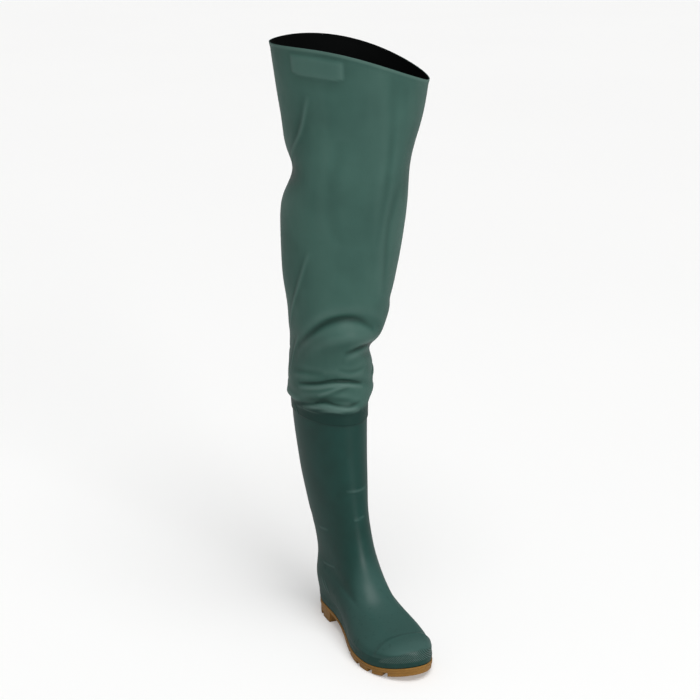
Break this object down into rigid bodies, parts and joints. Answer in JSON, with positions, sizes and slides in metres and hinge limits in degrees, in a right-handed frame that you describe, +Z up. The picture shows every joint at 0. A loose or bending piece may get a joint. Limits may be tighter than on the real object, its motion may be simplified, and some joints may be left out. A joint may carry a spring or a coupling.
{
  "type": "hip wader",
  "caption": "Hip wader for the right foot: a moulded boot with a raised toe cap on a lugged sole, and a long slack fabric leg with a slanted rim.",
  "frame": {"origin": "on the floor under the middle of the heel, at the flat of the heel block", "axes": "+Z up along the leg; -Y towards the toe; +X to the inner side of the foot"},
  "size_m": [0.2327, 0.3638, 0.9125],
  "materials": {
    "outsole": "satin moulded PVC, caramel",
    "boot": "semi-gloss moulded PVC, dark green",
    "leg": "coated woven nylon, satin, green",
    "insole": "matt textile foot bed, dark grey"
  },
  "bodies": {
    "root": {"outsole": "outsole", "boot": "boot", "leg": "leg", "insole": "insole"}
  },
  "joints": []
}
